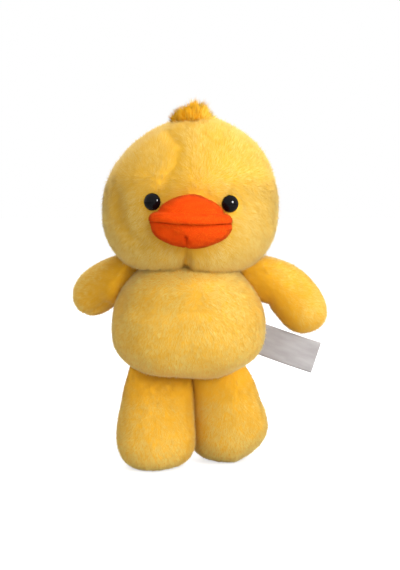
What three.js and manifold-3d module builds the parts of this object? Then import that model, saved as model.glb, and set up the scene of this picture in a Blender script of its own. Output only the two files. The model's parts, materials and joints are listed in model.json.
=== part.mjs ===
// A plush toy bird that stands on two stuffed legs.
// Millimetres, +Z up. It looks along -Y, and left and right are its own, so its left is +X.

import * as THREE from 'three';
import { mergeVertices } from 'three/addons/utils/BufferGeometryUtils.js';
import Module from 'manifold-3d';

const wasm = await Module();
wasm.setup();

const { degToRad, lerp, smoothstep } = THREE.MathUtils;

// Cloth, thread and the gaps between pieces
const CLOTH = 3; // plush cloth with its pile
const BILL_CLOTH = 2;
const SEAM_GAP = 0.3; // between pieces that are sewn together
const FILL_GAP = 0.6; // between a cover and its stuffing
const TURN_GAP = 0.6; // between round faces that slide on each other
const THREAD_RADIUS = 0.6;
const SEAM_HALF_DEPTH = 1.5; // a limb pinched flat at its seam
const SEAM_CLOTH = 10; // both cloths lie on each other this far from a limb's seam
const WEDGE = 0.7; // how fast a limb thickens away from its seam, depth by length
const SQUARE_BY = 0.5; // share of a limb's length where its rings have turned square to it

// Torso
const CHEST_RADIUS = 59; // half width, and the dome under the head
const CHEST_HALF_DEPTH = 50;
const BELLY_DROP = 39; // chest centre to the seat
const BELLY_FULLNESS = 2.6;
const NECK_ROUND_FROM = 0.25; // the chest turns round between these heights, as shares of its radius
const NECK_ROUND_TO = 0.66;

// Legs
const LEG_LENGTH = 66.5; // hip seam to sole
const LEG_HALF_WIDTH = 29.5;
const LEG_HALF_DEPTH = 27;
const LEG_ROOT_HALF_WIDTH = 24;
const LEG_GAP = 1; // between the two legs
const LEGS_SHIFT = 3; // the legs are sewn on a little to the left
const LEG_FULLNESS = 2.6;
const FOOT_ROUND = 26; // height of the rounded foot
const LEG_FULL_BY = 0.7; // share of the leg's length where it is widest
const SOLE_TRIM = 0.8; // the sole is pressed flat by this much
const RIGHT_STEP = -15; // the right foot stands this far in front of its hip
const LEFT_STEP = 12; // and the left foot this far behind

// Arms
const ARM_LENGTH = 56;
const ARM_HALF_WIDTH = 20;
const ARM_HALF_DEPTH = 17;
const ARM_ROOT_HALF_WIDTH = 16.5;
const ARM_FULLNESS = 2.3;
const HAND_ROUND = 26; // length of the rounded hand
const ARM_FULL_BY = 0.35;
const ARM_BEND_AT = 24; // the arm leaves its seam at the root angle, then bends
const ARM_ROOT_ANGLE = degToRad(80); // from the seam line
const SHOULDER_ANGLE = degToRad(58); // place of the shoulder seam on the chest, from straight up
const LEFT_ARM_DROOP = degToRad(20); // from the seam line
const RIGHT_ARM_DROOP = degToRad(50);
const LEFT_ARM_SWING = degToRad(0);
const RIGHT_ARM_SWING = degToRad(-62); // laid back

// Head, measured from the centre of the chest dome
const HEAD_RISE = 93; // to the widest part of the head
const HEAD_HALF_WIDTH = 67;
const HEAD_HALF_DEPTH = 56;
const CROWN_RISE = 66; // above the widest part
const CHIN_DROP = 50; // below the widest part
const CROWN_FULLNESS = 2;
const CHIN_FULLNESS = 3;
const HEAD_TILT = degToRad(1.5); // leans to its left
const RING_THICKNESS = 2; // gathered cloth of the neck seam
const RING_INNER_ANGLE = degToRad(29); // edges of the neck seam on the dome, from straight up
const RING_OUTER_ANGLE = degToRad(38.5);

// Eyes
const EYE_SPREAD = 27.8;
const EYE_RISE = 95; // above the chest centre
const EYE_RADIUS = 6.3;
const EYE_DOME = 4.6;
const SHANK_RADIUS = 2;
const SHANK_LENGTH = 11;
const WASHER_RADIUS = 7.5;
const WASHER_THICKNESS = 1.8;
const WASHER_SEAT = 1.6; // the head is hollow here, so a flat washer sits this far below its cloth

// Bill
const MOUTH_RISE = 82; // above the chest centre
const BILL_ROOT_HALF_WIDTH = 23;
const BILL_HALF_WIDTH = 29.3;
const BILL_WIDEST_AT = 20; // from the buried root
const BILL_BURY = 12; // depth of the root behind the face, before it is cut there
const BILL_FULLNESS = 2.4;
const BILL_ROUND = 20; // length of the rounded end
const UPPER_BILL_RISE = 18.5;
const UPPER_BILL_REACH = 26;
const LOWER_BILL_DROP = 19;
const LOWER_BILL_REACH = 22;

// Crest
const CREST_SHIFT = 2; // to the left of the middle
const CREST_HALF_WIDTH = 17.5;
const CREST_HALF_DEPTH = 8;
const CREST_HEIGHT = 14;
const CREST_BURY = 8;
const CREST_FULLNESS = 2.2;

// Ribbon label in the left side seam
const LABEL_DROP = 11; // below the chest centre
const LABEL_WIDTH = 24;
const LABEL_LENGTH = 41;
const LABEL_CLOTH = 0.5;
const LABEL_FOLD_GAP = 0.6; // between the two layers
const LABEL_TILT = degToRad(18);

// Facets
const HEAD_STEPS = 16;
const HEAD_SIDES = 28;
const TORSO_STEPS = 14;
const TORSO_SIDES = 24;
const LIMB_STEPS = 10;
const LIMB_SIDES = 20;
const BILL_STEPS = 8;
const BILL_SIDES = 20;
const ROUND_SIDES = 32;
const SMALL_SIDES = 12;
const COARSER = 2; // inner faces have this many times fewer facets each way

const FAR = 1000; // reach of a cutting block
const TINY = 1e-6;

// Materials
function cloth(color) {
  return new THREE.MeshStandardMaterial({ color, roughness: 0.95, metalness: 0 });
}
const headPlush = cloth(0xf0c860);
const bodyPlush = cloth(0xecc057);
const limbPlush = cloth(0xeeb43a);
const billFelt = cloth(0xfa5a18);
const crestPile = cloth(0xeca41c);
const ribbon = cloth(0xd8d5d8);
const fibre = cloth(0xf4f2ec);
const yarn = cloth(0xe2a734);
const eyePlastic = new THREE.MeshStandardMaterial({ color: 0x0b0a0b, roughness: 0.12, metalness: 0 });
const washerPlastic = new THREE.MeshStandardMaterial({ color: 0xe9e8e2, roughness: 0.5, metalness: 0 });

// Solids

// A closed mesh as a solid that can be cut and joined.
function solid(geometry) {
  const bare = geometry.clone();
  bare.deleteAttribute('normal');
  bare.deleteAttribute('uv');
  const merged = mergeVertices(bare, TINY);
  const vertProperties = new Float32Array(merged.attributes.position.array);
  const triVerts = new Uint32Array(merged.index.array);
  return new wasm.Manifold(new wasm.Mesh({ numProp: 3, vertProperties, triVerts }));
}

function namedMesh(name, body, material) {
  const { vertProperties, triVerts } = body.getMesh();
  const geometry = new THREE.BufferGeometry();
  geometry.setAttribute('position', new THREE.BufferAttribute(new Float32Array(vertProperties), 3));
  geometry.setIndex(new THREE.BufferAttribute(new Uint32Array(triVerts), 1));
  geometry.computeVertexNormals();
  const mesh = new THREE.Mesh(geometry, material);
  mesh.name = name;
  return mesh;
}

// A closed skin through oval rings. ringAt(share) gives a ring's centre and its two half axes.
function loft(ringAt, steps, sides) {
  const points = [];
  const rings = [];
  for (let step = 0; step <= steps; step += 1) {
    const { centre, across, along } = ringAt(step / steps);
    const count = across.length() < TINY ? 1 : sides;
    const ring = [];
    for (let side = 0; side < count; side += 1) {
      const angle = (side / sides) * Math.PI * 2;
      ring.push(points.length);
      points.push(
        centre.clone().addScaledVector(across, Math.cos(angle)).addScaledVector(along, Math.sin(angle)),
      );
    }
    rings.push(ring);
  }
  const corner = (ring, side) => ring[side % ring.length];
  const faces = [];
  for (let step = 0; step < steps; step += 1) {
    for (let side = 0; side < sides; side += 1) {
      const a = corner(rings[step], side);
      const b = corner(rings[step], side + 1);
      const c = corner(rings[step + 1], side + 1);
      const d = corner(rings[step + 1], side);
      if (a !== b) faces.push([a, b, c]);
      if (c !== d) faces.push([a, c, d]);
    }
  }
  const first = rings[0];
  const last = rings[steps];
  for (let side = 1; side < first.length - 1; side += 1) faces.push([first[0], first[side + 1], first[side]]);
  for (let side = 1; side < last.length - 1; side += 1) faces.push([last[0], last[side], last[side + 1]]);
  return solid(facesOut(points, faces));
}

// The mesh of these faces, turned so that they point out.
function facesOut(points, faces) {
  let volume = 0;
  for (const [a, b, c] of faces) {
    volume += points[a].dot(points[b].clone().cross(points[c]));
  }
  const ordered = volume < 0 ? faces.map(([a, b, c]) => [a, c, b]) : faces;
  const geometry = new THREE.BufferGeometry().setFromPoints(points);
  geometry.setIndex(ordered.flat());
  return geometry;
}

// Width of a rounded end at a share of its length: 1 where it starts, 0 at its tip.
function fullness(share, power) {
  return Math.pow(Math.max(0, 1 - Math.pow(Math.abs(share), power)), 1 / power);
}

// One side of a seam plane that is square to an axis, half a seam gap away from it.
function sideOfSeam(axis, sign, offset = 0) {
  const block = new THREE.BoxGeometry(FAR, FAR, FAR);
  const shift = new THREE.Vector3();
  shift[axis] = offset + sign * (FAR / 2 + SEAM_GAP / 2);
  return solid(block.translate(shift.x, shift.y, shift.z));
}

function ball(radius) {
  return solid(new THREE.SphereGeometry(radius, ROUND_SIDES, ROUND_SIDES / 2).rotateX(Math.PI / 2));
}

// A lathe turned about Z. Its profile points are [radius, height].
function turned(profile, sides) {
  const points = profile.map(([radius, height]) => new THREE.Vector2(radius, height));
  return new THREE.LatheGeometry(points, sides).rotateX(Math.PI / 2);
}

function thread(halfLength) {
  return new THREE.CylinderGeometry(THREAD_RADIUS, THREAD_RADIUS, 2 * halfLength, SMALL_SIDES);
}

// Torso

function torsoForm(inset, coarser = 1) {
  const ringAt = (share) => {
    const height = Math.sin((share - 0.5) * Math.PI);
    const reach = height < 0 ? BELLY_DROP : CHEST_RADIUS;
    const swell = fullness(height, height < 0 ? BELLY_FULLNESS : 2);
    const roundness = smoothstep(height, NECK_ROUND_FROM, NECK_ROUND_TO);
    const halfDepth = lerp(CHEST_HALF_DEPTH, CHEST_RADIUS, roundness);
    return {
      centre: new THREE.Vector3(0, 0, height * (reach - inset)),
      across: new THREE.Vector3((CHEST_RADIUS - inset) * swell, 0, 0),
      along: new THREE.Vector3(0, (halfDepth - inset) * swell, 0),
    };
  };
  return loft(ringAt, TORSO_STEPS / coarser, TORSO_SIDES / coarser);
}

function addTorso(torso) {
  const cover = torsoForm(0).subtract(torsoForm(CLOTH, COARSER));
  torso.add(namedMesh('body_front_panel', cover.intersect(sideOfSeam('y', -1)), bodyPlush));
  torso.add(namedMesh('body_back_panel', cover.intersect(sideOfSeam('y', 1)), bodyPlush));
  torso.add(namedMesh('body_stuffing', torsoForm(CLOTH + FILL_GAP, COARSER), fibre));
}

// Limbs

// A stuffed limb along its centre line. It is pinched flat at its seam, swells, and ends round.
function limbForm(limb, inset, coarser = 1) {
  const length = limb.line.getLength();
  const start = inset > 0 ? (SEAM_CLOTH + inset - CLOTH) / length : 0;
  const end = 1 - inset / length;
  const roundFrom = 1 - limb.roundEnd / length;
  const ringAt = (share) => {
    const place = lerp(start, end, Math.sin((share * Math.PI) / 2));
    const ahead = limb.line.getTangentAt(place);
    const square = new THREE.Vector3(-ahead.z, 0, ahead.x);
    const swell = fullness(Math.max(0, (place - roundFrom) / (end - roundFrom)), limb.fullness);
    const grown = smoothstep(place, 0, limb.fullBy);
    const turnedSquare = smoothstep(place, 0, SQUARE_BY);
    const halfWidth = lerp(limb.rootHalfWidth, limb.halfWidth, grown);
    const thickened = Math.tanh((place * length * WEDGE) / limb.halfDepth);
    const halfDepth = lerp(SEAM_HALF_DEPTH, limb.halfDepth, thickened);
    const across = limb.rootAcross.clone().lerp(square, turnedSquare).normalize();
    return {
      centre: limb.line.getPointAt(place),
      across: across.multiplyScalar((halfWidth - inset) * swell),
      along: new THREE.Vector3(0, (halfDepth - inset) * swell, 0),
    };
  };
  return loft(ringAt, LIMB_STEPS / coarser, LIMB_SIDES / coarser);
}

// A limb's cover as two panels, and its stuffing. The limb's frame has X outwards and Z up.
// A turned frame, on the right side of the toy, has its front along +Y.
function addLimb(group, name, limb, frontSign, trim, leaning) {
  const trimmed = (body) => (trim ? body.subtract(trim) : body);
  const cover = trimmed(limbForm(limb, 0)).subtract(limbForm(limb, CLOTH, COARSER));
  const filling = limbForm(limb, CLOTH + FILL_GAP, COARSER);
  const pieces = [
    namedMesh(`${name}_front_panel`, cover.intersect(sideOfSeam('y', frontSign)), limbPlush),
    namedMesh(`${name}_back_panel`, cover.intersect(sideOfSeam('y', -frontSign)), limbPlush),
    namedMesh(`${name}_stuffing`, filling, fibre),
  ];
  for (const piece of pieces) {
    if (leaning) piece.geometry.applyMatrix4(leaning);
    group.add(piece);
  }
}

const SEAM_OFFSET = THREAD_RADIUS + SEAM_GAP; // from a seam's thread to the pieces on either side of it

function addLeg(torso, name, isLeft, step) {
  const hipX = LEG_GAP / 2 + LEG_ROOT_HALF_WIDTH;
  const footShift = LEG_HALF_WIDTH - LEG_ROOT_HALF_WIDTH; // keeps the inner side of the leg upright
  const foot = new THREE.Vector3(footShift, 0, -LEG_LENGTH - SOLE_TRIM);
  const root = new THREE.Vector3(0, 0, -SEAM_OFFSET);
  const leg = {
    line: new THREE.QuadraticBezierCurve3(root, new THREE.Vector3(footShift, 0, foot.z / 2), foot),
    rootAcross: new THREE.Vector3(1, 0, 0),
    rootHalfWidth: LEG_ROOT_HALF_WIDTH,
    halfWidth: LEG_HALF_WIDTH,
    halfDepth: LEG_HALF_DEPTH,
    fullness: LEG_FULLNESS,
    fullBy: LEG_FULL_BY,
    roundEnd: FOOT_ROUND,
  };
  const hip = new THREE.Group();
  hip.position.set(LEGS_SHIFT + (isLeft ? hipX : -hipX), 0, -BELLY_DROP - SEAM_OFFSET);
  const facing = new THREE.Group();
  facing.rotation.z = isLeft ? 0 : Math.PI;
  hip.add(facing);
  torso.add(hip);

  const stitched = thread(LEG_ROOT_HALF_WIDTH).rotateZ(Math.PI / 2);
  facing.add(namedMesh(`${name}_seam_thread`, solid(stitched), yarn));

  // The leg leans to its foot, and its sole stays level.
  const lean = (isLeft ? -step : step) / LEG_LENGTH;
  const leaning = new THREE.Matrix4().makeShear(0, 0, 0, 0, 0, lean);
  const floor = new THREE.BoxGeometry(FAR, FAR, FAR).translate(0, 0, -LEG_LENGTH - FAR / 2);
  addLimb(facing, name, leg, isLeft ? -1 : 1, solid(floor), leaning);
}

function addArm(torso, name, isLeft, droop, swing) {
  const fromSeam = (angle, length) => new THREE.Vector3(
    SEAM_OFFSET + length * Math.sin(angle),
    0,
    -length * Math.cos(angle),
  );
  const arm = {
    line: new THREE.QuadraticBezierCurve3(
      fromSeam(0, 0),
      fromSeam(ARM_ROOT_ANGLE, ARM_BEND_AT),
      fromSeam(droop, ARM_LENGTH),
    ),
    rootAcross: new THREE.Vector3(0, 0, 1),
    rootHalfWidth: ARM_ROOT_HALF_WIDTH,
    halfWidth: ARM_HALF_WIDTH,
    halfDepth: ARM_HALF_DEPTH,
    fullness: ARM_FULLNESS,
    fullBy: ARM_FULL_BY,
    roundEnd: HAND_ROUND,
  };
  const facing = new THREE.Group();
  facing.rotation.z = isLeft ? 0 : Math.PI;
  torso.add(facing);
  const shoulder = new THREE.Group();
  const seamRadius = CHEST_RADIUS + SEAM_OFFSET;
  shoulder.position.set(seamRadius * Math.sin(SHOULDER_ANGLE), 0, seamRadius * Math.cos(SHOULDER_ANGLE));
  shoulder.rotation.y = SHOULDER_ANGLE - Math.PI / 2;
  facing.add(shoulder);

  const stitched = thread(ARM_ROOT_HALF_WIDTH).rotateX(Math.PI / 2);
  shoulder.add(namedMesh(`${name}_seam_thread`, solid(stitched), yarn));

  const swung = new THREE.Group();
  swung.rotation.z = swing;
  shoulder.add(swung);
  addLimb(swung, name, arm, isLeft ? -1 : 1);
}

// Head

function headForm(inset, coarser = 1) {
  const ringAt = (share) => {
    const height = Math.sin((share - 0.5) * Math.PI);
    const reach = height < 0 ? CHIN_DROP : CROWN_RISE;
    const swell = fullness(height, height < 0 ? CHIN_FULLNESS : CROWN_FULLNESS);
    return {
      centre: new THREE.Vector3(0, 0, HEAD_RISE + height * (reach - inset)),
      across: new THREE.Vector3((HEAD_HALF_WIDTH - inset) * swell, 0, 0),
      along: new THREE.Vector3(0, (HEAD_HALF_DEPTH - inset) * swell, 0),
    };
  };
  return loft(ringAt, HEAD_STEPS / coarser, HEAD_SIDES / coarser);
}

// How far the face stands out from the middle of the head at a place on it.
function faceAt(x, z) {
  const up = z - HEAD_RISE;
  const swell = up < 0
    ? fullness(up / CHIN_DROP, CHIN_FULLNESS)
    : fullness(up / CROWN_RISE, CROWN_FULLNESS);
  return HEAD_HALF_DEPTH * swell * fullness(x / (HEAD_HALF_WIDTH * swell), 2);
}

// The gathered neck seam, a band on the dome of the chest.
function neckRing() {
  const inner = CHEST_RADIUS + TURN_GAP;
  const outer = inner + RING_THICKNESS;
  const steps = 4;
  const inside = [];
  const outside = [];
  for (let step = 0; step <= steps; step += 1) {
    const angle = lerp(RING_INNER_ANGLE, RING_OUTER_ANGLE, step / steps);
    inside.push([inner * Math.sin(angle), inner * Math.cos(angle)]);
    outside.unshift([outer * Math.sin(angle), outer * Math.cos(angle)]);
  }
  const profile = [...inside, ...outside, inside[0]];
  return solid(turned(profile, ROUND_SIDES));
}

// The frame of an eye: its place on the face, with +Z pointing out of the face.
function eyeFrame(x) {
  const y = -faceAt(x, EYE_RISE);
  const up = EYE_RISE - HEAD_RISE;
  const outwards = new THREE.Vector3(
    x / HEAD_HALF_WIDTH ** 2,
    y / HEAD_HALF_DEPTH ** 2,
    up / CROWN_RISE ** 2,
  ).normalize();
  const turn = new THREE.Quaternion().setFromUnitVectors(new THREE.Vector3(0, 0, 1), outwards);
  return new THREE.Matrix4().compose(new THREE.Vector3(x, y, EYE_RISE), turn, new THREE.Vector3(1, 1, 1));
}

function eyeBall() {
  const profile = [
    [0, -SHANK_LENGTH],
    [SHANK_RADIUS, -SHANK_LENGTH],
    [SHANK_RADIUS, SEAM_GAP],
  ];
  const domeSteps = 5;
  for (let step = 0; step <= domeSteps; step += 1) {
    const angle = (step / domeSteps) * (Math.PI / 2);
    const isTop = step === domeSteps;
    profile.push([isTop ? 0 : EYE_RADIUS * Math.cos(angle), SEAM_GAP + EYE_DOME * Math.sin(angle)]);
  }
  return turned(profile, LIMB_SIDES);
}

function eyeWasher() {
  const top = -CLOTH - WASHER_SEAT;
  const bottom = top - WASHER_THICKNESS;
  const bore = SHANK_RADIUS + SEAM_GAP;
  const profile = [[bore, bottom], [WASHER_RADIUS, bottom], [WASHER_RADIUS, top], [bore, top], [bore, bottom]];
  return turned(profile, LIMB_SIDES);
}

// A round bar along Z between two heights.
function bar(radius, bottom, top) {
  const height = top - bottom;
  return new THREE.CylinderGeometry(radius, radius, height, SMALL_SIDES)
    .rotateX(Math.PI / 2)
    .translate(0, 0, bottom + height / 2);
}

function addHead(head) {
  const bowl = ball(CHEST_RADIUS + RING_THICKNESS + 2 * TURN_GAP);
  let cover = headForm(0).subtract(headForm(CLOTH)).subtract(bowl);
  let filling = headForm(CLOTH + FILL_GAP, COARSER).subtract(bowl);
  for (const [name, x] of [['left_eye', EYE_SPREAD], ['right_eye', -EYE_SPREAD]]) {
    const frame = eyeFrame(x);
    const shankHole = bar(SHANK_RADIUS + SEAM_GAP, -SHANK_LENGTH, EYE_DOME).applyMatrix4(frame);
    const pocket = bar(WASHER_RADIUS + 2 * SEAM_GAP, -SHANK_LENGTH - SEAM_GAP, 0).applyMatrix4(frame);
    cover = cover.subtract(solid(shankHole));
    filling = filling.subtract(solid(pocket));
    head.add(namedMesh(name, solid(eyeBall().applyMatrix4(frame)), eyePlastic));
    head.add(namedMesh(`${name}_washer`, solid(eyeWasher().applyMatrix4(frame)), washerPlastic));
  }
  head.add(namedMesh('head_left_panel', cover.intersect(sideOfSeam('x', 1)), headPlush));
  head.add(namedMesh('head_right_panel', cover.intersect(sideOfSeam('x', -1)), headPlush));
  head.add(namedMesh('head_stuffing', filling, fibre));
}

// One half of the bill as a whole round body, before it is cut at the mouth and at the face.
function billForm(height, reach, inset) {
  const root = -faceAt(0, MOUTH_RISE) + BILL_BURY;
  const length = BILL_BURY + reach;
  const ringAt = (share) => {
    const place = (length - inset) * Math.sin((share * Math.PI) / 2);
    const roundFrom = length - BILL_ROUND;
    const swell = fullness(Math.max(0, (place - roundFrom) / (BILL_ROUND - inset)), BILL_FULLNESS);
    const halfWidth = lerp(BILL_ROOT_HALF_WIDTH, BILL_HALF_WIDTH, smoothstep(place, 0, BILL_WIDEST_AT));
    return {
      centre: new THREE.Vector3(0, root - place, MOUTH_RISE),
      across: new THREE.Vector3((halfWidth - inset) * swell, 0, 0),
      along: new THREE.Vector3(0, 0, (height - inset) * swell),
    };
  };
  return loft(ringAt, BILL_STEPS, BILL_SIDES);
}

function addBill(head, name, height, reach, sign) {
  const face = headForm(-SEAM_GAP);
  const lining = MOUTH_RISE + sign * BILL_CLOTH;
  const outer = billForm(height, reach, 0).intersect(sideOfSeam('z', sign, MOUTH_RISE));
  const inner = billForm(height, reach, BILL_CLOTH).intersect(sideOfSeam('z', sign, lining));
  const fillingRoom = sideOfSeam('z', sign, lining + sign * SEAM_GAP);
  const filling = billForm(height, reach, BILL_CLOTH + FILL_GAP).intersect(fillingRoom);
  head.add(namedMesh(`${name}_cover`, outer.subtract(inner).subtract(face), billFelt));
  head.add(namedMesh(`${name}_stuffing`, filling.subtract(face), fibre));
}

function addCrest(head) {
  const top = HEAD_RISE + CROWN_RISE;
  const length = CREST_BURY + CREST_HEIGHT;
  const ringAt = (share) => {
    const place = Math.sin((share * Math.PI) / 2);
    const swell = fullness(place, CREST_FULLNESS);
    return {
      centre: new THREE.Vector3(CREST_SHIFT, 0, top - CREST_BURY + place * length),
      across: new THREE.Vector3(CREST_HALF_WIDTH * swell, 0, 0),
      along: new THREE.Vector3(0, CREST_HALF_DEPTH * swell, 0),
    };
  };
  const tuft = loft(ringAt, BILL_STEPS, BILL_SIDES).subtract(headForm(-SEAM_GAP));
  head.add(namedMesh('crest_tuft', tuft, crestPile));
}

// Label

// A ribbon folded in two, sewn in by its open end.
function addLabel(torso) {
  const half = LABEL_FOLD_GAP / 2;
  const outside = half + LABEL_CLOTH;
  const fold = LABEL_LENGTH - LABEL_CLOTH;
  const outline = new THREE.Shape();
  outline.moveTo(0, -outside);
  outline.lineTo(LABEL_LENGTH, -outside);
  outline.lineTo(LABEL_LENGTH, outside);
  outline.lineTo(0, outside);
  outline.lineTo(0, half);
  outline.lineTo(fold, half);
  outline.lineTo(fold, -half);
  outline.lineTo(0, -half);
  outline.closePath();
  const strip = new THREE.ExtrudeGeometry(outline, { depth: LABEL_WIDTH, bevelEnabled: false });
  const side = new THREE.Group();
  const sideX = CHEST_RADIUS * fullness(LABEL_DROP / BELLY_DROP, BELLY_FULLNESS);
  side.position.set(sideX + SEAM_GAP + LABEL_CLOTH, 0, -LABEL_DROP); // room for the fold to swing
  side.rotation.y = LABEL_TILT;
  side.add(namedMesh('ribbon_label', solid(strip.translate(0, 0, -LABEL_WIDTH / 2)), ribbon));
  torso.add(side);
}

// Assembly

const toy = new THREE.Group();
const torso = new THREE.Group();
torso.position.z = LEG_LENGTH + SEAM_OFFSET + BELLY_DROP;
toy.add(torso);
addTorso(torso);
addLeg(torso, 'left_leg', true, LEFT_STEP);
addLeg(torso, 'right_leg', false, RIGHT_STEP);
addArm(torso, 'left_arm', true, LEFT_ARM_DROOP, LEFT_ARM_SWING);
addArm(torso, 'right_arm', false, RIGHT_ARM_DROOP, RIGHT_ARM_SWING);
addLabel(torso);
torso.add(namedMesh('neck_seam_ring', neckRing(), headPlush));

const head = new THREE.Group();
head.rotation.y = HEAD_TILT;
torso.add(head);
addHead(head);
addBill(head, 'upper_bill', UPPER_BILL_RISE, UPPER_BILL_REACH, 1);
addBill(head, 'lower_bill', LOWER_BILL_DROP, LOWER_BILL_REACH, -1);
addCrest(head);

// The origin is the middle of the whole toy's outline on the surface that it stands on.
const outline = new THREE.Box3().setFromObject(toy, true);
const middle = outline.getCenter(new THREE.Vector3());
toy.position.set(-middle.x, -middle.y, -outline.min.z);

export default toy;
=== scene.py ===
# The looks of a plush toy bird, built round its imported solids.
# The frame is in metres, +Z up. Forms here are in millimetres and change to metres when a piece is made.
# The toy looks along -Y, and left and right are its own, so its left is +X.

import json
import math

import bpy
import numpy as np
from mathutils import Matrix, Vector
from mathutils.bvhtree import BVHTree


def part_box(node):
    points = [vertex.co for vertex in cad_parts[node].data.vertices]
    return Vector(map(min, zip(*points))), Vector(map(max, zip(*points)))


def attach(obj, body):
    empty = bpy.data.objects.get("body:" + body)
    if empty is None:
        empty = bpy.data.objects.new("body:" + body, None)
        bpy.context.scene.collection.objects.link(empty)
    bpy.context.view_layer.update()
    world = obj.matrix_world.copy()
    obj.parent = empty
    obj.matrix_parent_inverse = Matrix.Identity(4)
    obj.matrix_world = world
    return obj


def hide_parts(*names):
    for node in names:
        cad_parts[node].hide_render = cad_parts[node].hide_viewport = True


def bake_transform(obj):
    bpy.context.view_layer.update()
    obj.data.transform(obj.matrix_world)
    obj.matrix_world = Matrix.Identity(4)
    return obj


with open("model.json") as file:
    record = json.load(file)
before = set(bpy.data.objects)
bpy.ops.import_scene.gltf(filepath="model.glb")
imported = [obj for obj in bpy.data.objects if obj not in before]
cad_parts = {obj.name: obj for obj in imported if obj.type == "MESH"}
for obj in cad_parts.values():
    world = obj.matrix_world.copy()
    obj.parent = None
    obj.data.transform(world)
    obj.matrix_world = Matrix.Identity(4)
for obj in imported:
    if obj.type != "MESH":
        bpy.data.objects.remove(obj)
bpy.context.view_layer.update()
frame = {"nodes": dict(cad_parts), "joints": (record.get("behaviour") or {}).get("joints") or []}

MM = 0.001
TINY = 1e-6

# Sizes, most of them those of the solids
BODY_INSET = 1.2  # the skin lies this far inside a solid's surface, which is where the pile ends
ARM_INSET = 1.0
LEG_INSET = 0.3
HEAD_INSET = 0.5
CHEST_RADIUS = 59.0
CHEST_HALF_DEPTH = 50.0
CHEST_FULLNESS = 2.0
BELLY_DROP = 39.0
BELLY_FULLNESS = 2.6
NECK_ROUND_FROM = 0.25
NECK_ROUND_TO = 0.66
SEAM_OFFSET = 0.9
WEDGE = 1.0
TUCKS = {"arm": 7.0, "leg": 5.0}  # how far a limb goes into the body at its seam
ROOT_HALF_DEPTHS = {"arm": 9.0, "leg": 10.0}  # of a limb at its seam, where the stuffing swells it
SQUARE_BY = 0.5
LEG_LENGTH = 66.5
LEG_HALF_WIDTH = 29.5
LEG_HALF_DEPTH = 27.0
LEG_ROOT_HALF_WIDTH = 24.0
LEG_FULLNESS = 2.6
FOOT_ROUND = 26.0
LEG_FULL_BY = 0.7
SOLE_TRIM = 0.8
STEPS = {"left": 12.0, "right": -15.0}
ARM_LENGTH = 56.0
ARM_HALF_WIDTH = 20.0
ARM_HALF_DEPTH = 17.0
ARM_ROOT_HALF_WIDTH = 16.5
ARM_FULLNESS = 2.3
HAND_ROUND = 26.0
ARM_FULL_BY = 0.35
ARM_BEND_AT = 24.0
SHOULDER_ANGLE = math.radians(58)
DROOPS = {"left": math.radians(20), "right": math.radians(50)}
SWINGS = {"left": 0.0, "right": math.radians(-62)}
HEAD_RISE = 93.0
HEAD_HALF_WIDTH = 67.0
HEAD_HALF_DEPTH = 56.0
CROWN_RISE = 66.0
CHIN_DROP = 50.0
CHIN_SAG = 3.0  # the soft chin hangs this much lower
CROWN_FULLNESS = 2.0
CHIN_FULLNESS = 3.0
HEAD_TILT = math.radians(1.5)
BOWL_RADIUS = 62.2  # the hollow of the head that sits on the chest
RIM_RADIUS = 59.8  # and its rim, which touches the pile of the chest
RIM_FROM = math.radians(33)  # the hollow turns into its rim between these angles from straight up
RIM_TO = math.radians(36)
RING_INNER_ANGLE = math.radians(29)
RING_OUTER_ANGLE = math.radians(35.4)
RING_RADIUS = 60.2
EYE_SPREADS = {"left": 27.8, "right": -27.8}
EYE_RISE = 95.0
EYE_RADIUS = 6.3
EYE_DOME = 4.6
SHANK_RADIUS = 2.0
SHANK_LENGTH = 11.0
MOUTH_RISE = 82.0
MOUTH_GAP = 0.3
BILL_ROOT_HALF_WIDTH = 23.0
BILL_HALF_WIDTH = 29.3
BILL_WIDEST_AT = 20.0
BILL_BURY = 12.0
BILL_FULLNESS = 2.4
BILL_ROUND = 20.0
UPPER_BILL_RISE = 18.5
UPPER_BILL_REACH = 26.0
LOWER_BILL_DROP = 19.0
LOWER_BILL_REACH = 22.0
CREST_SHIFT = 2.0
CREST_HALF_WIDTH = 17.5
CREST_HALF_DEPTH = 8.0
CREST_BURY = 8.0
LABEL_WIDTH = 24.0
LABEL_LENGTH = 41.0
LABEL_TILT = math.radians(19)

# How finely the skins are made: steps along, then sides round
BODY_MESH = (56, 96)
LEG_MESH = (44, 72)
ARM_MESH = (40, 64)
HEAD_MESH = (100, 160)
BILL_MESH = (48, 90, 40)  # the last are the sides along the mouth
CREST_MESH = (12, 32)
STITCH_MESH = (8, 10)


def joint_place(name):
    """Where a joint of the frame is, in millimetres."""
    return next(np.array(joint["pos_m"]) for joint in frame["joints"] if joint["name"] == name) / MM


CHEST = joint_place("head_nod")


# Numbers

def unit(vectors):
    return vectors / np.maximum(np.linalg.norm(vectors, axis=-1, keepdims=True), TINY)


def distances(points, place):
    return np.linalg.norm(points - place, axis=1)


def lerp(a, b, share):
    return a + (b - a) * share


def smoothstep(value, low, high, height=1):
    """Rises smoothly from 0 at low to its height at high."""
    share = np.clip((value - low) / (high - low), 0, 1)
    return height * share * share * (3 - 2 * share)


def fade(value, low, high, height=1):
    """Falls smoothly from its height at low to 0 at high."""
    return height - smoothstep(value, low, high, height)


def fullness(share, power):
    """Width of a rounded end at a share of its length: 1 where it starts, 0 at its tip."""
    return np.maximum(0, 1 - np.abs(share) ** power) ** (1 / power)


def bell(distance, width, height=1):
    """Its height at no distance, and little of it beyond its width."""
    return height * np.exp(-((distance / width) ** 2))


def wobble(points, height, size, seed, waves=7):
    """Smooth noise over points, of about this height, with bumps of about this size."""
    rng = np.random.default_rng(seed)
    directions = unit(rng.normal(size=(waves, 3)))
    phases = rng.uniform(0, 2 * np.pi, waves)
    total = np.sin(points @ directions.T * (2 * np.pi / size) + phases).sum(axis=1)
    return height * (total / math.sqrt(2 * waves))


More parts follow.
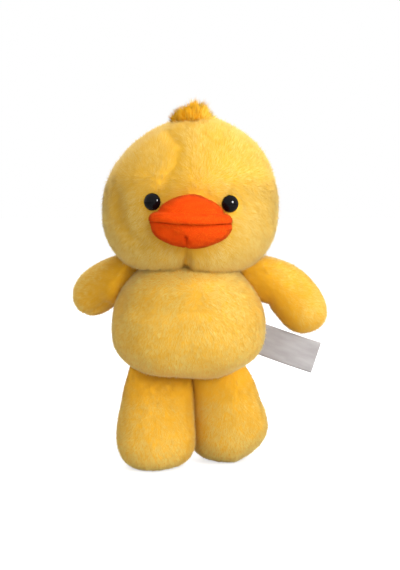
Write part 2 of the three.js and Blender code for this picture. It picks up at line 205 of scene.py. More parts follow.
def turned_about(points, axis, angle):
    """Points turned about one of the axes 0, 1 and 2."""
    first, second = (axis + 1) % 3, (axis + 2) % 3
    out = np.array(points, float)
    out[..., first] = points[..., first] * math.cos(angle) - points[..., second] * math.sin(angle)
    out[..., second] = points[..., first] * math.sin(angle) + points[..., second] * math.cos(angle)
    return out


def walked_along(line):
    """How far each point of a line is from its start, along the line."""
    return np.concatenate([[0], np.cumsum(np.linalg.norm(np.diff(line, axis=0), axis=1))])


def distance_to_line(places, line):
    """Distance of flat places to a line through points, and on which side of it they are."""
    nearest = np.full(len(places), np.inf)
    side = np.zeros(len(places))
    for start, end in zip(line[:-1], line[1:]):
        run = end - start
        share = np.clip((places - start) @ run / (run @ run), 0, 1)
        away = places - (start + share[:, None] * run)
        distance = np.linalg.norm(away, axis=1)
        closer = distance < nearest
        nearest = np.where(closer, distance, nearest)
        side = np.where(closer, np.sign(run[1] * away[:, 0] - run[0] * away[:, 1]), side)
    return nearest, side


# Skins

def loft(ring_at, steps, sides):
    """Oval rings of points. ring_at(share) gives a ring's centre and its two half axes."""
    angles = np.arange(sides) / sides * 2 * np.pi
    rings = []
    for step in range(steps + 1):
        centre, across, along = ring_at(step / steps)
        rings.append(centre + np.outer(np.cos(angles), across) + np.outer(np.sin(angles), along))
    return np.array(rings)


def ball_rings(mesh, inset, middle, half_width, half_depth, lower, upper):
    """A stuffed ball. half_depth(height) is its depth from -1 at its bottom to 1 at its top.
    lower and upper say how far its halves reach, and how full they are."""
    def ring_at(share):
        height = math.sin((share - 0.5) * math.pi)
        reach, power = lower if height < 0 else upper
        swell = fullness(height, power)
        return (
            np.array((0, 0, middle + height * (reach - inset))),
            np.array(((half_width - inset) * swell, 0, 0)),
            np.array((0, (half_depth(height) - inset) * swell, 0)),
        )

    return loft(ring_at, *mesh)


def quads(a, b, c, d):
    """Two triangles for each quad. Its corners are arrays of indices."""
    return np.stack([a, b, c, a, c, d], axis=-1).reshape(-1, 3)


def fan(ring):
    """Triangles that close a ring of indices."""
    return np.stack([np.full(len(ring) - 2, ring[0]), ring[1:-1], ring[2:]], axis=1)


def skin(rings):
    """A closed skin of triangles through rings: its points, and its faces turned outwards."""
    points, index = [], []
    for ring in rings:
        is_pole = np.ptp(ring, axis=0).max() < TINY
        index.append(len(points) + np.arange(len(ring)) * (not is_pole))
        points.extend(ring[:1] if is_pole else ring)
    points, index = np.array(points), np.array(index)
    after = np.roll(index, -1, axis=1)
    walls = quads(index[:-1], after[:-1], after[1:], index[1:])
    faces = np.concatenate([walls, fan(index[0])[:, [0, 2, 1]], fan(index[-1])])
    whole = (faces[:, 0] != faces[:, 1]) & (faces[:, 1] != faces[:, 2]) & (faces[:, 2] != faces[:, 0])
    faces = faces[whole]
    a, b, c = points[faces].transpose(1, 0, 2)
    if np.einsum("ij,ij->", a, np.cross(b, c)) < 0:
        faces = faces[:, ::-1]
    return points, faces


def point_normals(points, faces):
    a, b, c = points[faces].transpose(1, 0, 2)
    across = np.cross(b - a, c - a)
    normals = np.zeros_like(points)
    for corner in range(3):
        np.add.at(normals, faces[:, corner], across)
    return unit(normals)


def relaxed(points, faces, times):
    """Points moved half way to the middle of their neighbours, to round off edges."""
    edges = np.concatenate([faces[:, [0, 1]], faces[:, [1, 2]], faces[:, [2, 0]]])
    count = np.bincount(edges[:, 0], minlength=len(points))[:, None]
    for _ in range(times):
        total = np.zeros_like(points)
        np.add.at(total, edges[:, 0], points[edges[:, 1]])
        points = lerp(points, total / count, 0.5)
    return points


def pressed_out(points, other, room):
    """Points of a soft skin, pressed out of another one so that this much room is left between the two."""
    out = points.copy()
    for index, point in enumerate(points):
        place, normal, _, distance = other.find_nearest(Vector(point))
        is_inside = (Vector(point) - place).dot(normal) < 0
        if is_inside or distance < room:
            out[index] = place + normal * room
    return out


def pushed(points, faces, depths):
    """Points moved out along their normals by these depths."""
    return points + point_normals(points, faces) * depths[:, None]


# Pile

COLOUR_MAP = "OFBake"
SKIN_CORNERS = np.array([(0.49, 0.01), (0.51, 0.01), (0.50, 0.03)])  # of a skin's faces on the colour map
STRAND_POINTS = 4  # a strand is a thin spike: left and right at its root, its underside there, and its tip
STRAND_HEIGHTS = (0.04, 0.04, 0.06, 0.98)  # of its points on the colour map
STRAND_SPREAD = np.array((-1, 1, 0, 0)) * 0.004
STRAND_FACES = np.array([(0, 1, 3), (1, 2, 3), (2, 0, 3)])
MIDDLE_TONE = 0.5
TONE_RANGE = (0.03, 0.97)
CLUMP_WAVES = 24
WAY_SEED = 11  # this and the next three are added to a piece's own seed
LEAN_SEED = 17
MOTTLE_SEED = 23
CLUMP_SEED = 29
PILE_SEEDS = {
    "body": 101, "left_leg": 201, "right_leg": 202, "left_arm": 301, "right_arm": 302,
    "head": 401, "upper_bill": 501, "lower_bill": 502, "crest": 601,
}
PILE = {
    "density": 3.0,  # strands on a square millimetre
    "length": 3.4,
    "length_range": (0.75, 1.1),
    "width": 0.36,
    "roll": 0.3,  # how far a strand turns about itself by chance
    "gleam": 0.15,  # how much a strand shades by its own faces, and by chance
    "glint": 0.06,
    "lean": 1.22,
    "lean_spread": 0.08,
    "lean_tufts": 0.04,
    "lean_range": (0.1, 1.4),
    "loose": 0.05,  # share of strands that stand up more
    "loose_lean": 0.6,
    "tufts": 0.25,
    "tuft_size": 9.0,
    "stray": 0.25,
    "rooted": 0.3,
    "bare_below": 0.05,
    "mingle": 0.3,  # spread of their tones
    "clumps": 0.16,
    "clump_size": 6.0,
    "mottle": 0.12,
    "mottle_size": 26.0,
}
HEAD_PILE = {
    **PILE, "density": 2.6, "length": 5.0, "width": 0.4, "lean": 1.18,
    "tufts": 0.4, "tuft_size": 11.0, "lean_tufts": 0.06,
}
FELT_PILE = {
    **PILE, "density": 2.6, "length": 1.1, "width": 0.32, "lean": 0.9,
    "tufts": 0.8, "tuft_size": 5.0, "rooted": 0.1,
}
CREST_LONG_PILE = {
    **PILE, "density": 4.0, "length": 15.0, "width": 0.9, "lean": 0.4, "lean_spread": 0.14,
    "stray": 0.3, "tufts": 0.9, "tuft_size": 5.0, "rooted": 1.0,
}


def grow_pile(points, faces, cover, comb, coat, seed, tint):
    """Strands of pile on a skin: points, normals for their shading, and places on the colour map.
    cover is the share of full pile at each point of the skin, and tint makes it paler, or deeper below 0.
    comb(roots) says which way it lies."""
    rng = np.random.default_rng(seed)
    normals = point_normals(points, faces)
    a, b, c = points[faces].transpose(1, 0, 2)
    areas = np.linalg.norm(np.cross(b - a, c - a), axis=1) / 2
    weights = areas * (cover[faces].mean(axis=1) > coat["bare_below"])
    count = int(weights.sum() * coat["density"] * (1))
    chosen = faces[rng.choice(len(faces), count, p=weights / weights.sum())]
    slide = np.sqrt(rng.random(count))
    across = rng.random(count)
    shares = np.stack([1 - slide, slide * (1 - across), slide * across], axis=1)

    def over(values):
        return np.einsum("ij,ij...->i...", shares, values[chosen])

    roots, up = over(points), unit(over(normals))
    length = coat["length"] * over(cover) * rng.uniform(*coat["length_range"], count)
    way = comb(roots)
    for axis in range(3):
        way[:, axis] += wobble(roots, coat["tufts"], coat["tuft_size"], seed + WAY_SEED + axis)
    way += rng.normal(scale=coat["stray"], size=(count, 3))
    way = unit(way - up * np.einsum("ij,ij->i", way, up)[:, None])
    lean = coat["lean"] + rng.normal(scale=coat["lean_spread"], size=count)
    lean = lean + wobble(roots, coat["lean_tufts"], coat["tuft_size"], seed + LEAN_SEED)
    is_loose = rng.random(count) < coat["loose"]
    lean = np.where(is_loose, lean * coat["loose_lean"], np.clip(lean, *coat["lean_range"]))

    ahead = up * np.cos(lean)[:, None] + way * np.sin(lean)[:, None]
    side = unit(np.cross(way, up))
    roll = rng.normal(scale=coat["roll"], size=count)[:, None]
    side = side * np.cos(roll) + np.cross(ahead, side) * np.sin(roll)
    above = np.cross(side, ahead)
    starts = roots - up * coat["rooted"]
    half = coat["width"] / 2
    strands = np.stack([
        starts - side * half,
        starts + side * half,
        starts - above * half,
        roots + ahead * length[:, None],
    ], axis=1)
    shading = unit(up + coat["gleam"] * above + rng.normal(scale=coat["glint"], size=(count, 3)))
    shading = np.repeat(shading[:, None], STRAND_POINTS, axis=1)
    tone = MIDDLE_TONE + over(tint) + wobble(roots, coat["mottle"], coat["mottle_size"], seed + MOTTLE_SEED)
    tone = tone + coat["mingle"] * (1 - rng.exponential(size=count))
    tone = tone + wobble(roots, coat["clumps"], coat["clump_size"], seed + CLUMP_SEED, CLUMP_WAVES)
    tone = np.clip(tone, *TONE_RANGE)[:, None] + STRAND_SPREAD
    heights = np.broadcast_to(STRAND_HEIGHTS, tone.shape)
    return strands.reshape(-1, 3), shading.reshape(-1, 3), np.stack([tone, heights], axis=-1).reshape(-1, 2)


def combed(*way):
    """A comb that lays all the pile the same way."""
    return lambda roots: np.tile(way, (len(roots), 1))


def add_mesh(name, points, faces, material, corners=None, shading=None):
    """A smooth piece of triangles from points in millimetres. corners are places on the colour map."""
    mesh = bpy.data.meshes.new(name)
    mesh.vertices.add(len(points))
    mesh.vertices.foreach_set("co", (points * MM).astype(np.float32).ravel())
    mesh.loops.add(faces.size)
    mesh.loops.foreach_set("vertex_index", faces.astype(np.int32).ravel())
    mesh.polygons.add(len(faces))
    mesh.polygons.foreach_set("loop_start", np.arange(0, faces.size, 3, dtype=np.int32))
    mesh.update(calc_edges=True)
    mesh.shade_smooth()
    if corners is not None:
        mesh.uv_layers.new(name=COLOUR_MAP).uv.foreach_set("vector", corners.astype(np.float32).ravel())
    if shading is not None:
        mesh.normals_split_custom_set_from_vertices(shading.astype(np.float32))
    mesh.materials.append(material)
    piece = bpy.data.objects.new(name, mesh)
    bpy.context.scene.collection.objects.link(piece)
    return piece


def add_plush(name, points, faces, cover, comb, coat, material, tint, floor=None):
    """A skin and its pile as one piece. Nothing of it goes below the floor."""
    strands, strand_shading, places = grow_pile(points, faces, cover, comb, coat, PILE_SEEDS[name], tint)
    count = len(strands) // STRAND_POINTS
    first = len(points) + np.arange(count) * STRAND_POINTS
    strand_faces = (first[:, None, None] + STRAND_FACES).reshape(-1, 3)
    corners = np.concatenate([
        np.tile(SKIN_CORNERS, (len(faces), 1)),
        places[(strand_faces - len(points)).ravel()],
    ])
    shading = np.concatenate([point_normals(points, faces), strand_shading])
    everything = np.concatenate([points, strands])
    if floor is not None:
        everything[:, 2] = np.maximum(everything[:, 2], floor)
    return add_mesh(name, everything, np.concatenate([faces, strand_faces]), material, corners, shading)


def stands_for(piece, body, slot, *nodes, bend=None):
    """Attaches a piece to the body it moves with, and hides the solids that it stands for. A piece given bend
    is fixed where it is instead, and the places in bend are not used.
    """
    if bend is None:
        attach(piece, body)
    else:
        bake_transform(piece)
    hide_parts(*nodes)


def front_and_back(name):
    """The nodes of a stuffed part with a front panel and a back panel."""
    return f"{name}_front_panel", f"{name}_back_panel", f"{name}_stuffing"


# Materials

MIX_FACTOR, MIX_FIRST, MIX_SECOND = 0, 6, 7  # sockets of a mix node for colours
MIX_RESULT = 2
WHITE = (1, 1, 1, 1)


class Nodes:
    """A short way to make the nodes of a material or a world and join them."""

    def __init__(self, owner, main="Principled BSDF"):
        owner.use_nodes = True
        self.owner = owner
        self.tree = owner.node_tree
        self.main = self.tree.nodes[main]

    def add(self, kind, settings=None, **inputs):
        node = self.tree.nodes.new(kind)
        for key, value in (settings or {}).items():
            setattr(node, key, value)
        self.fill(node, inputs)
        return node

    def fill(self, node, inputs):
        for key, value in inputs.items():
            self.put(node.inputs[key.replace("_", " ")], value)

    def put(self, socket, value):
        if isinstance(value, bpy.types.NodeSocket):
            self.tree.links.new(value, socket)
        else:
            socket.default_value = value

    def ramp(self, factor, *stops):
        node = self.add("ShaderNodeValToRGB", Fac=factor)
        for element, (place, colour) in zip(node.color_ramp.elements, stops):
            element.position = place
            element.color = (*colour, 1)
        return node.outputs["Color"]

    def mix(self, factor, first, second):
        node = self.add("ShaderNodeMix", {"data_type": "RGBA"})
        self.put(node.inputs[MIX_FACTOR], factor)
        self.put(node.inputs[MIX_FIRST], first)
        self.put(node.inputs[MIX_SECOND], second)
        return node.outputs[MIX_RESULT]

    def calculate(self, operation, first, second):
        node = self.add("ShaderNodeMath", {"operation": operation})
        self.put(node.inputs[0], first)
        self.put(node.inputs[1], second)
        return node.outputs[0]

    def span(self, value, low, high):
        node = self.add("ShaderNodeMapRange", Value=value, To_Min=low, To_Max=high)
        return node.outputs["Result"]

    def finish(self, **inputs):
        self.fill(self.main, inputs)
        return self.owner


def material_nodes(name):
    return Nodes(bpy.data.materials.new(name))


def plush_material(name, root, deep_tip, pale_tip, sheen, sheen_tint=(1.0, 0.88, 0.55)):
    """Pile whose colour goes from its root to its tip, and from deep to pale strands."""
    nodes = material_nodes(name)
    uv = nodes.add("ShaderNodeUVMap", {"uv_map": COLOUR_MAP})
    place = nodes.add("ShaderNodeSeparateXYZ", Vector=uv.outputs["UV"])
    tips = nodes.ramp(place.outputs["X"], (0.1, deep_tip), (0.9, pale_tip))
    height = nodes.ramp(place.outputs["Y"], (0.0, (0, 0, 0)), (0.75, (1, 1, 1)))
    return nodes.finish(
        Base_Color=nodes.mix(height, (*root, 1), tips),
        Roughness=nodes.span(place.outputs["Y"], low=0.98, high=0.85),
        Specular_IOR_Level=0.04,
        Sheen_Weight=sheen,
        Sheen_Roughness=0.45,
        Sheen_Tint=(*sheen_tint, 1),
    )


def plastic_material(name, colour, roughness):
    """Smooth plastic, a little duller and darker in a fine grain."""
    nodes = material_nodes(name)
    texture = nodes.add("ShaderNodeTexCoord")
    grain = nodes.add("ShaderNodeTexNoise", Vector=texture.outputs["Object"], Scale=900.0, Detail=3.0)
    darker = tuple(0.8 * part for part in colour)
    return nodes.finish(
        Base_Color=nodes.ramp(grain.outputs["Fac"], (0.3, darker), (0.7, colour)),
        Roughness=nodes.span(grain.outputs["Fac"], low=roughness, high=roughness * 1.6),
        Specular_IOR_Level=0.12,
    )


def ridged_material(name, scale, distortion, dark, light, roughness, relief):
    """Twisted thread or knitted cloth, darker in the grooves between its ridges: painted shade. relief is the
    height of its ridges.
    """
    nodes = material_nodes(name)
    place = nodes.add("ShaderNodeTexCoord").outputs["Object"]
    ridges = nodes.add("ShaderNodeTexWave", Vector=place, Scale=scale, Distortion=distortion)
    bump = nodes.add("ShaderNodeBump", Height=ridges.outputs["Fac"], Strength=0.4, Distance=relief * MM)
    return nodes.finish(
        Base_Color=nodes.ramp(ridges.outputs["Fac"], (0.2, dark), (0.8, light)),
        Roughness=roughness,
        Normal=bump.outputs["Normal"],
    )


def ribbon_material():
    """Satin ribbon: fine floats across it, and faint creases. Its colour is darker where the creases and the
    floats are low: painted shade.
    """
    nodes = material_nodes("ribbon_satin")
    uv = nodes.add("ShaderNodeUVMap", {"uv_map": COLOUR_MAP}).outputs["UV"]
    weave = nodes.add("ShaderNodeTexWave", {"bands_direction": "X"}, Vector=uv, Scale=60.0, Distortion=0.6)
    crease = nodes.add("ShaderNodeTexNoise", Vector=uv, Scale=5.0, Detail=4.0)
    weave, crease = weave.outputs["Fac"], crease.outputs["Fac"]
    crease_painted_shade = nodes.ramp(crease, (0.35, (0.31, 0.285, 0.28)), (0.65, (0.39, 0.365, 0.36)))
    woven = nodes.ramp(weave, (0.3, (0.34, 0.32, 0.32)), (0.7, (0.62, 0.6, 0.6)))
    height = nodes.calculate("ADD", weave, crease)
    bump = nodes.add("ShaderNodeBump", Height=height, Strength=0.25, Distance=0.3 * MM)
    return nodes.finish(
        Base_Color=nodes.mix(0.12, crease_painted_shade, woven),
        Roughness=nodes.span(weave, low=0.42, high=0.6),
        Normal=bump.outputs["Normal"],
        Sheen_Weight=0.15,
        Specular_IOR_Level=0.3,
    )


# Colours of each pile: at its root, and at its deepest and palest tips
HEAD_PLUSH = plush_material(
    "head_plush", (0.88, 0.47, 0.035), (0.86, 0.47, 0.04), (0.97, 0.71, 0.21), sheen=0.7,
)
BODY_PLUSH = plush_material("body_plush", (0.9, 0.46, 0.03), (0.9, 0.46, 0.03), (1.0, 0.8, 0.24), sheen=0.8)
LIMB_PLUSH = plush_material("limb_plush", (0.9, 0.44, 0.02), (0.9, 0.44, 0.02), (1.0, 0.77, 0.22), sheen=0.6)
BILL_FELT = plush_material(
    "bill_felt", (0.82, 0.065, 0.003), (0.84, 0.075, 0.004), (1.0, 0.17, 0.009),
    sheen=0.12, sheen_tint=(1.0, 0.35, 0.1),
)
CREST_PILE = plush_material("crest_pile", (0.88, 0.3, 0.002), (0.95, 0.4, 0.003), (1.0, 0.7, 0.1), sheen=0.0)
EYE_PLASTIC = plastic_material("eye_plastic", (0.004, 0.0035, 0.0045), roughness=0.05)
WASHER_PLASTIC = plastic_material("washer_plastic", (0.8, 0.8, 0.76), roughness=0.45)
THREAD = ridged_material(
    "thread", scale=900.0, distortion=2.0, dark=(0.62, 0.3, 0.03), light=(0.86, 0.5, 0.08),
    roughness=0.6, relief=0.2,
)
# The backing cloth of the neck ring, coloured as deep as the shaded chest round it: painted shade.
PAINTED_SHADE_BACKING = ridged_material(
    "plush_backing_painted_shade", scale=500.0, distortion=3.0, dark=(0.5, 0.2, 0.015), light=(0.64, 0.3, 0.03),
    roughness=0.95, relief=0.3,
)
RIBBON = ribbon_material()


# Torso

BELLY_DIMPLE = np.array((6.5, -47.0, 20.0))
COLLAR_RISE = 58.0  # the pile ends here, under the head
COLLAR_FADE = 6.0
BODY_COMB = (0.0, 0.6, -1.0)


def torso_half_depth(height):
    return lerp(CHEST_HALF_DEPTH, CHEST_RADIUS, smoothstep(height, NECK_ROUND_FROM, NECK_ROUND_TO))


def add_body():
    points, faces = skin(ball_rings(
        BODY_MESH, BODY_INSET, 0, CHEST_RADIUS, torso_half_depth,
        lower=(BELLY_DROP, BELLY_FULLNESS), upper=(CHEST_RADIUS, CHEST_FULLNESS),
    ))
    lumps = wobble(points, height=0.7, size=42, seed=3) + wobble(points, height=0.4, size=21, seed=4)
    side_seam = bell(points[:, 1], width=2.0, height=-1.3)
    dimple = bell(distances(points, BELLY_DIMPLE), width=8.0, height=-1.8)
    points = pushed(points, faces, lumps + side_seam + dimple)
    cover = fade(points[:, 2], COLLAR_RISE - COLLAR_FADE, COLLAR_RISE)
    cover *= 1 - bell(points[:, 1], width=2.5, height=0.35)
    # Painted light and shade: the top of the chest is painted paler where the head shades it, and the seat
    # deeper, where less light reaches it.
    chest_painted_light = smoothstep(points[:, 2], low=26, high=46, height=0.25)
    seat_painted_shade = smoothstep(-points[:, 2], low=28, high=38, height=0.3)
    tint = chest_painted_light - seat_painted_shade
    points = points + CHEST
    for side in ("left", "right"):
        # Painted shade: the pile is deeper round the arm seams, in the creases there.
        tint -= bell(distances(points, joint_place(f"{side}_arm_swing")), width=24.0, height=0.5)

    def comb(roots):
        away = roots - CHEST - BELLY_DIMPLE
        near = bell(distances(away, 0), width=24.0, height=1.2)
        return BODY_COMB + unit(away) * near[:, None]

    piece = add_plush("body", points, faces, cover, comb, PILE, BODY_PLUSH, tint)
    stands_for(piece, "body", "body_plush", *front_and_back("body"))


# Limbs

LINE_POINTS = 200
EASED_TIMES = 16
EASED_UNTIL = 0.5
EASED_FADE = 0.15


def bezier(start, bend, end, share):
    return start * (1 - share) ** 2 + bend * (2 * share * (1 - share)) + end * share ** 2


def limb_rings(limb, inset, mesh):
    """A stuffed limb along its centre line. It is pinched flat at its seam, swells, and ends round."""
    start, bend, finish = limb["line"]
    shares = np.linspace(0, 1, LINE_POINTS)
    walked = walked_along(np.array([bezier(start, bend, finish, share) for share in shares]))
    length = walked[-1]
    end = length - inset
    round_from = length - limb["round_end"]

    def ring_at(share):
        place = end * math.sin(share * math.pi / 2)
        share_there = np.interp(place, walked, shares)
        ahead = unit(lerp(bend - start, finish - bend, share_there))
        square = np.array((-ahead[2], 0, ahead[0]))
        swell = fullness(max(0, (place - round_from) / (end - round_from)), limb["fullness"])
        grown = smoothstep(place / length, 0, limb["full_by"])
        turned_square = smoothstep(place / length, 0, SQUARE_BY)
        half_width = lerp(limb["root_half_width"], limb["half_width"], grown)
        thickened = math.tanh(place * WEDGE / limb["half_depth"])
        half_depth = lerp(limb["root_half_depth"], limb["half_depth"], thickened)
        across = unit(lerp(limb["root_across"], square, turned_square))
        return (
            bezier(start, bend, finish, share_there),
            across * (half_width - inset) * swell,
            np.array((0, (half_depth - inset) * swell, 0)),
        )

    return eased(loft(ring_at, *mesh))


def eased(rings):
    """Rings smoothed lengthways near the seam, so that a bent limb has no kink there."""
    shares = np.linspace(0, 1, len(rings))[1:-1]
    strength = fade(shares, EASED_UNTIL - EASED_FADE, EASED_UNTIL, height=0.5)[:, None, None]
    for _ in range(EASED_TIMES):
        rings[1:-1] = lerp(rings[1:-1], (rings[:-2] + rings[2:]) / 2, strength)
    return rings


LEG_SQUEEZE = 1.8  # the legs bulge this far towards each other
SQUEEZE_MARGIN = 4.0
HIP_TAPERS = {"left": 9.0, "right": 1.0}  # a leg is this much narrower at its outer top
TOE_TAPERS = {"left": 9.0, "right": 2.2}  # and at the outer corner of its foot
LEG_LUMP_SEEDS = {"left": 5, "right": 6}
LEG_COMB = (0.0, 0.5, -1.0)
LEG_ROOT_COVER = 0.4  # share of full pile at the seam
SEAT_EDGE = 0.85  # the seat isn't followed beyond this share of its half width
SOLE_PILE = 1.3  # thickness of the pile that a foot stands on
LOWEST_PILE = 0.2
HIP_BEND = (np.array((0, 0, 8.0)), np.array((0, 0, -14.0)))  # two places from the hip, handed over as bend


def seat_rise(x):
    """How far the seat of the toy curves up at a distance from its middle line."""
    return BELLY_DROP * (1 - fullness(np.minimum(np.abs(x) / CHEST_RADIUS, SEAT_EDGE), BELLY_FULLNESS))


def add_leg(side):
    name = f"{side}_leg"
    sign = 1 if side == "left" else -1
    step = STEPS[side] / LEG_LENGTH
    foot_shift = LEG_HALF_WIDTH - LEG_ROOT_HALF_WIDTH
    foot = np.array((foot_shift, 0, -LEG_LENGTH - SOLE_TRIM))
    leg = {
        "line": (np.array((0, 0, TUCKS["leg"])), np.array((foot_shift, 0, foot[2] / 2)), foot),
        "root_across": np.array((1.0, 0, 0)),
        "root_half_width": LEG_ROOT_HALF_WIDTH,
        "root_half_depth": ROOT_HALF_DEPTHS["leg"],
        "half_width": LEG_HALF_WIDTH,
        "half_depth": LEG_HALF_DEPTH,
        "fullness": LEG_FULLNESS,
        "full_by": LEG_FULL_BY,
        "round_end": FOOT_ROUND,
    }
    hip = joint_place(f"{name}_swing")
    points, faces = skin(limb_rings(leg, LEG_INSET, LEG_MESH))
    points[:, 0] -= smoothstep(
        -points[:, 0], SQUEEZE_MARGIN, LEG_ROOT_HALF_WIDTH - SQUEEZE_MARGIN, height=LEG_SQUEEZE,
    )
    outer = smoothstep(points[:, 0], low=2, high=26)
    points[:, 0] -= outer * fade(-points[:, 2], low=-12, high=30, height=HIP_TAPERS[side])
    points[:, 0] -= outer * smoothstep(-points[:, 2], low=34, high=LEG_LENGTH, height=TOE_TAPERS[side])
    points = points * (sign, 1, 1)
    faces = faces[:, ::sign]
    points[:, 1] -= step * points[:, 2]
    lumps = wobble(points, height=0.6, size=38, seed=LEG_LUMP_SEEDS[side])
    outer = smoothstep(sign * points[:, 0], low=-4, high=4)
    seam = outer * bell(points[:, 1] + step * points[:, 2], width=2.0, height=-1.0)
    points = pushed(points, faces, lumps + seam)
    points[:, 2] += seat_rise(points[:, 0] + hip[0] - CHEST[0]) * fade(-points[:, 2], low=0, high=22)
    sole = SOLE_PILE - hip[2]
    points[:, 2] = np.maximum(points[:, 2], sole)
    near_sole = bell(points[:, 2] - sole, width=5.0)[:, None]
    points = lerp(points, relaxed(points, faces, times=4), near_sole)
    points[:, 2] = np.maximum(points[:, 2], sole)
    cover = LEG_ROOT_COVER + smoothstep(-points[:, 2], low=-8, high=6, height=1 - LEG_ROOT_COVER)
    # Painted shade: deeper at the top of the leg, in the crease under the belly, and on its inner side,
    # between the legs.
    hip_painted_shade = fade(-points[:, 2], low=2, high=22, height=0.4)
    inner_painted_shade = smoothstep(-sign * points[:, 0], low=10, high=22, height=0.4)
    pale_foot = smoothstep(-points[:, 2], low=30, high=LEG_LENGTH, height=0.35)
    tint = pale_foot - hip_painted_shade - inner_painted_shade
    piece = add_plush(
        name, points + hip, faces, cover, combed(*LEG_COMB), PILE, LIMB_PLUSH, tint, floor=LOWEST_PILE,
    )
    stands_for(piece, name, "limb_plush", *front_and_back(name), bend=[hip + place for place in HIP_BEND])


SHOULDER_RISE = 12.0  # the soft shoulder goes this much higher, up to the cheek
SOFT_ARM_ROOT_ANGLE = math.radians(106)
SOFT_ARM_BENDS = {"left": ARM_BEND_AT + 0.5, "right": ARM_BEND_AT - 1.5}
SOFT_DROOPS = {"left": DROOPS["left"], "right": DROOPS["right"] - math.radians(3)}
SOFT_HAND_REACH = {"left": 1.5, "right": -2.5}
ARMPIT = np.array((4.0, -20.0))  # outwards and upwards from the shoulder
ARM_ROUNDING = 3
ARMPIT_ROUNDING = 16
CHEEK_ROOM = 0.3  # the cheeks rest on the shoulders, with this much room between the cloth of both
ARM_LUMP_SEEDS = {"left": 7, "right": 8}
ARM_TONES = {"left": -0.08, "right": 0.0}
ARM_COMB_BACK = np.array((0.0, 0.4, 0.0))
SHOULDER_BEND = (-4.0, 14.0)  # two reaches outwards from the seam, for the places handed over as bend


def add_arm(side, head):
    """An arm, pressed out of the skin of the head."""
    name = f"{side}_arm"

    def from_seam(angle, length):
        return np.array((SEAM_OFFSET + length * math.sin(angle), 0, -length * math.cos(angle)))

    def placed(vectors):
        turned = turned_about(vectors, 2, SWINGS[side])
        turned = turned_about(turned, 1, SHOULDER_ANGLE - math.pi / 2)
        return turned if side == "left" else turned_about(turned, 2, math.pi)

    arm = {
        "line": (
            from_seam(-math.pi / 2, TUCKS["arm"]) + (0, 0, SHOULDER_RISE / 2),
            from_seam(SOFT_ARM_ROOT_ANGLE, SOFT_ARM_BENDS[side]),
            from_seam(SOFT_DROOPS[side], ARM_LENGTH + SOFT_HAND_REACH[side]),
        ),
        "root_across": np.array((0, 0, 1.0)),
        "root_half_width": ARM_ROOT_HALF_WIDTH + SHOULDER_RISE / 2,
        "root_half_depth": ROOT_HALF_DEPTHS["arm"],
        "half_width": ARM_HALF_WIDTH,
        "half_depth": ARM_HALF_DEPTH,
        "fullness": ARM_FULLNESS,
        "full_by": ARM_FULL_BY,
        "round_end": HAND_ROUND,
    }
    shoulder = joint_place(f"{name}_swing")
    points, faces = skin(limb_rings(arm, ARM_INSET, ARM_MESH))
    in_armpit = bell(distances(points[:, [0, 2]], ARMPIT), width=11.0)[:, None]
    points = lerp(relaxed(points, faces, ARM_ROUNDING), relaxed(points, faces, ARMPIT_ROUNDING), in_armpit)
    # Painted shade: the pile is deeper near the seam, in the crease against the body.
    tint = ARM_TONES[side] - fade(points[:, 0], low=2, high=24, height=0.55)
    lumps = wobble(points, height=0.5, size=32, seed=ARM_LUMP_SEEDS[side])
    seam = bell(points[:, 1], width=2.0, height=-1.0)
    points = pushed(points, faces, lumps + seam)
    points = pressed_out(placed(points) + shoulder, head, CHEEK_ROOM)
    along = unit(arm["line"][2] - arm["line"][0])
    comb = combed(*(placed(along) + ARM_COMB_BACK))
    piece = add_plush(name, points, faces, np.ones(len(points)), comb, PILE, LIMB_PLUSH, tint)
    out = unit(shoulder - CHEST)
    bend = [shoulder + reach * out for reach in SHOULDER_BEND]
    stands_for(piece, name, "limb_plush", *front_and_back(name), bend=bend)


# Head

CHIN_SEAM_AT = -2.8  # the pinched seam under the bill, from the middle
LEFT_CHEEK_SLACK = 2.2  # the left cheek is less full than the right one
CHEEK_TAPER = 0.03  # the lower cheeks are narrower by this share
CHIN_NOTCH = 2.4  # the seam draws the chin up this far
CHIN_LOBE_AT = 24.0  # and the cheeks hang lowest here
CHIN_LOBE = 1.5
PART_LINE = np.array([(-18, 146.0), (-8, 133), (-12, 120), (-19, 104)])  # parted pile over the eyes, x and z
CHEEK_LINE = np.array([(-55, 100.0), (-53, 85), (-46, 73), (-34, 64)])  # a soft crease in the right cheek
FLAT_SIDE = np.array((-0.66, -0.1, 0.74))  # the crown is a little flatter this way
BRUSHED_UP = (104.0, 126.0)  # between these heights the pile of the face changes from lying down to up
LYING_DOWN = np.array((0.3, -0.8))  # backwards and upwards
LYING_UP = np.array((1.0, 0.9))
COMBED_ASIDE = 0.35
# Painted light and shade: the lower cheeks are painted paler and the crown deeper, for how the light falls on
# them.
CHEEK_PAINTED_LIGHT = 0.14
CROWN_PAINTED_SHADE = -0.16
FLAT = (1, 0, 1)  # leaves out the depth


def face_at(x, z):
    """How far the face stands out from the middle of the head at a place on it."""
    up = z - HEAD_RISE
    below = up < 0
    swell = fullness(up / (CHIN_DROP if below else CROWN_RISE), CHIN_FULLNESS if below else CROWN_FULLNESS)
    return HEAD_HALF_DEPTH * swell * fullness(x / (HEAD_HALF_WIDTH * swell), 2)


def eye_place(side):
    x = EYE_SPREADS[side]
    return np.array((x, -face_at(x, EYE_RISE), EYE_RISE))


def on_head(points):
    """Places in the head's own frame, moved to where the head sits."""
    return turned_about(points, 1, HEAD_TILT) + CHEST


def frontness(points):
    return smoothstep(-points[:, 1], low=0, high=20)


